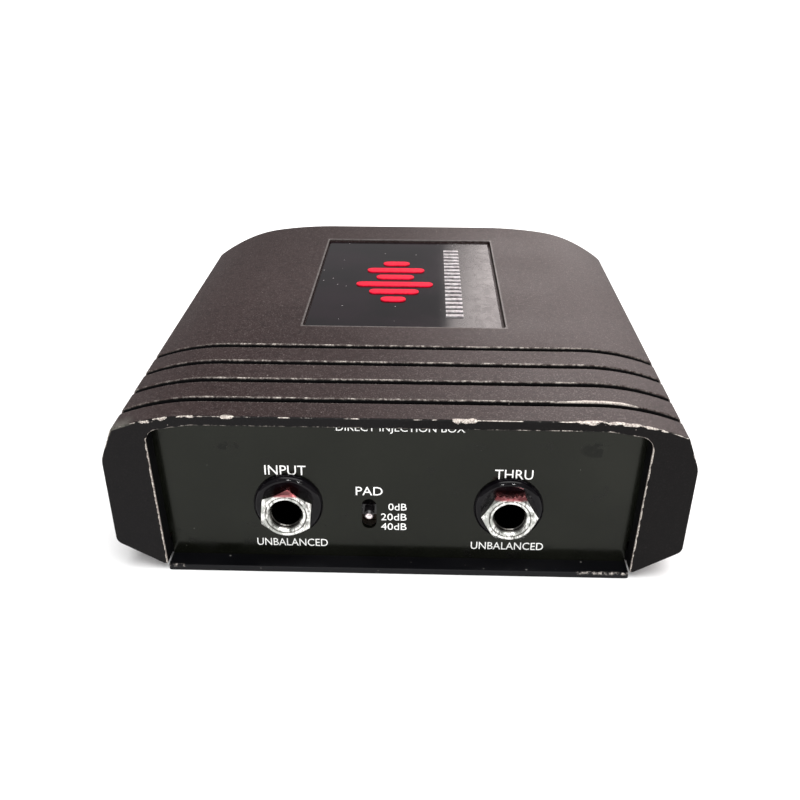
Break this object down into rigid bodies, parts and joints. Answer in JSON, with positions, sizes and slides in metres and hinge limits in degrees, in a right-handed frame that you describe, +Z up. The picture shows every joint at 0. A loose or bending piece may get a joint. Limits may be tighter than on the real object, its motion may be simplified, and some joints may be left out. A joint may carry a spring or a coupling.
{
  "type": "direct injection box",
  "caption": "Low flat metal box with sloped cheeks, grooved top and badge recess, two quarter-inch jacks and pad switch in a recessed front, XLR output behind.",
  "frame": {"origin": "centre of the footprint at the underside of the base plate", "axes": "+Z up, -Y out of the front with the jacks, +X to the right seen from the front"},
  "size_m": [0.127, 0.1437, 0.0393],
  "materials": {
    "cover_paint": "satin brown-grey paint, chipped at edges",
    "base_paint": "satin black paint",
    "panel_paint": "semi-gloss dark olive-grey paint",
    "badge_gloss": "glossy black",
    "badge_red": "glossy red",
    "badge_silver": "bright silver",
    "plated_steel": "zinc plated",
    "phenolic": "brown phenolic",
    "black_plastic": "moulded black plastic",
    "washer_black": "glossy black",
    "nut_chrome": "polished chrome",
    "xlr_metal": "black plated metal",
    "silver_contact": "silver plated",
    "black_screw": "black oxide",
    "wire_insulation": "pvc insulation",
    "board_green": "green solder mask",
    "resistor_body": "blue-grey lacquer",
    "capacitor_body": "red-brown box",
    "core_steel": "varnished laminations",
    "bobbin_plastic": "natural nylon",
    "winding_copper": "wound copper under yellow tape"
  },
  "bodies": {
    "box": {"badge_mark": "badge_red", "badge_plate": "badge_gloss", "badge_ticks": "badge_silver", "base_plate": "base_paint", "board_screws": "plated_steel", "board_standoffs": "plated_steel", "circuit_board": "board_green", "cover": "cover_paint", "cover_screws": "black_screw", "front_panel": "panel_paint", "ground_capacitors": "capacitor_body", "input_jack_bushing": "nut_chrome", "input_jack_housing": "black_plastic", "input_jack_nut": "nut_chrome", "input_jack_tip_spring": "silver_contact", "input_jack_washer": "washer_black", "lift_switch_frame": "plated_steel", "lift_switch_terminals": "phenolic", "output_leads": "wire_insulation", "pad_resistors": "resistor_body", "pad_switch_frame": "plated_steel", "pad_switch_terminals": "phenolic", "panel_screws": "black_screw", "rear_panel": "panel_paint", "thru_jack_bushing": "nut_chrome", "thru_jack_housing": "black_plastic", "thru_jack_nut": "nut_chrome", "thru_jack_tip_spring": "silver_contact", "thru_jack_washer": "washer_black", "transformer_bobbin": "bobbin_plastic", "transformer_core": "core_steel", "transformer_screws": "plated_steel", "transformer_strap": "plated_steel", "transformer_winding": "winding_copper", "xlr_insert": "black_plastic", "xlr_pins": "silver_contact", "xlr_screws": "black_screw", "xlr_shell": "xlr_metal"},
    "pad_slider": {"pad_switch_slider": "black_plastic"},
    "lift_slider": {"lift_switch_slider": "black_plastic"}
  },
  "joints": [
    {"name": "pad_slide", "type": "slide", "parent": "box", "child": "pad_slider", "axis": [0, 0, 1], "range_m": [-0.0024, 0.0024]},
    {"name": "lift_slide", "type": "slide", "parent": "box", "child": "lift_slider", "axis": [0, 0, 1], "range_m": [0, 0.003]}
  ]
}
